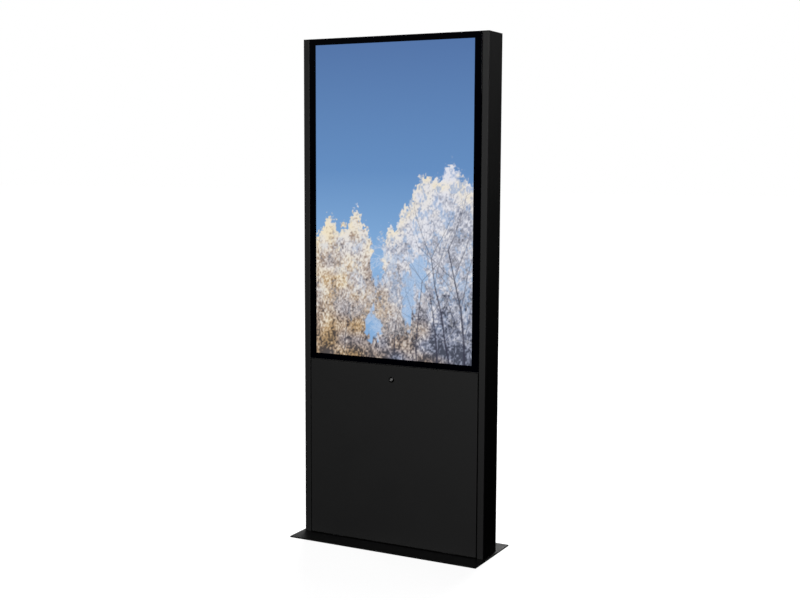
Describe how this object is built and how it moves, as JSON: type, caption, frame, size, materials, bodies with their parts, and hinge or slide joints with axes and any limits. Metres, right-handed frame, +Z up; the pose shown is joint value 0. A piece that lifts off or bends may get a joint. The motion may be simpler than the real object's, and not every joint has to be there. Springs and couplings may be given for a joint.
{
  "type": "touchscreen kiosk",
  "caption": "Floor-standing portrait touchscreen kiosk: slim black steel body on a flat base plate, full-height glass, lockable drop-front service door below, rear covers with vents.",
  "frame": {"origin": "middle of the base plate's underside, on the floor", "axes": "+Z up; the screen and the service door face -Y; seen from the front, +X is to the right"},
  "size_m": [0.82, 0.316, 1.98],
  "materials": {
    "powder_black": "fine-texture matt black powder coat",
    "plate_steel": "semi-gloss dark powder coat over flat steel plate",
    "zinc_steel": "zinc-plated steel",
    "inner_steel": "matt black painted steel",
    "screen_glass": "toughened glass over a lit screen, black printed border",
    "display_module": "satin black bezel",
    "aluminium": "mill finish",
    "lock_chrome": "polished",
    "plastic_black": "moulded, fine spark texture",
    "plastic_grey": "moulded, satin",
    "cable_jacket": "PVC jacket, matt"
  },
  "bodies": {
    "frame": {"base_plate": "plate_steel", "cover_screw_left_low": "zinc_steel", "cover_screw_left_mid": "zinc_steel", "cover_screw_left_top": "zinc_steel", "cover_screw_left_upper_mid": "zinc_steel", "cover_screw_right_low": "zinc_steel", "cover_screw_right_mid": "zinc_steel", "cover_screw_right_top": "zinc_steel", "cover_screw_right_upper_mid": "zinc_steel", "cover_strip_left": "zinc_steel", "cover_strip_right": "zinc_steel", "display_chassis": "display_module", "display_lead": "cable_jacket", "display_panel": "display_module", "driver_board_cover": "display_module", "equipment_plate": "zinc_steel", "fan_frame_left": "plastic_black", "fan_frame_right": "plastic_black", "glass_bar_left": "aluminium", "glass_bar_right": "aluminium", "header_rail": "inner_steel", "hinge_base_leaf_left": "zinc_steel", "hinge_base_leaf_right": "zinc_steel", "hinge_pin_left": "zinc_steel", "hinge_pin_right": "zinc_steel", "lower_cross_rail": "inner_steel", "mains_inlet": "plastic_black", "mains_lead": "cable_jacket", "media_player": "plastic_black", "mid_rail": "inner_steel", "power_strip": "plastic_black", "rear_cover_lower": "powder_black", "rear_cover_upper": "powder_black", "side_pillar_left": "powder_black", "side_pillar_right": "powder_black", "top_cap": "powder_black", "touch_controller": "plastic_black", "touch_glass": "screen_glass", "touch_lead": "cable_jacket", "upper_cross_rail": "inner_steel", "vesa_bolt_left_lower": "zinc_steel", "vesa_bolt_left_upper": "zinc_steel", "vesa_bolt_right_lower": "zinc_steel", "vesa_bolt_right_upper": "zinc_steel", "vesa_rail_left": "zinc_steel", "vesa_rail_right": "zinc_steel", "video_lead": "cable_jacket"},
    "door": {"door_stiffener_left": "inner_steel", "door_stiffener_right": "inner_steel", "hinge_door_leaf_left": "zinc_steel", "hinge_door_leaf_right": "zinc_steel", "lock_barrel": "lock_chrome", "lock_nut": "zinc_steel", "service_door": "powder_black"},
    "lock": {"lock_core": "lock_chrome", "lock_cam": "zinc_steel"},
    "player_button": {"player_button": "plastic_grey"},
    "inlet_rocker": {"inlet_rocker": "plastic_grey"},
    "fan_rotor_left": {"fan_rotor_left": "plastic_grey"},
    "fan_rotor_right": {"fan_rotor_right": "plastic_grey"}
  },
  "joints": [
    {"name": "door_hinge", "type": "hinge", "parent": "frame", "child": "door", "pos_m": [0, -0.06, 0.0072], "axis": [1, 0, 0], "range_deg": [0, 90]},
    {"name": "lock_turn", "type": "hinge", "parent": "door", "child": "lock", "pos_m": [0, -0.05, 0.6635], "axis": [0, -1, 0], "range_deg": [0, 90]},
    {"name": "button_press", "type": "slide", "parent": "frame", "child": "player_button", "axis": [0, 1, 0], "range_m": [0, 0.0012], "stiffness_N_per_m": 300},
    {"name": "rocker_tilt", "type": "hinge", "parent": "frame", "child": "inlet_rocker", "pos_m": [0.25, 0.058, 0.12], "axis": [-1, 0, 0], "range_deg": [0, 16]},
    {"name": "fan_left_spin", "type": "hinge", "parent": "frame", "child": "fan_rotor_left", "pos_m": [-0.16, 0.047, 1.81], "axis": [0, 1, 0], "continuous": true},
    {"name": "fan_right_spin", "type": "hinge", "parent": "frame", "child": "fan_rotor_right", "pos_m": [0.16, 0.047, 1.81], "axis": [0, 1, 0], "continuous": true}
  ]
}
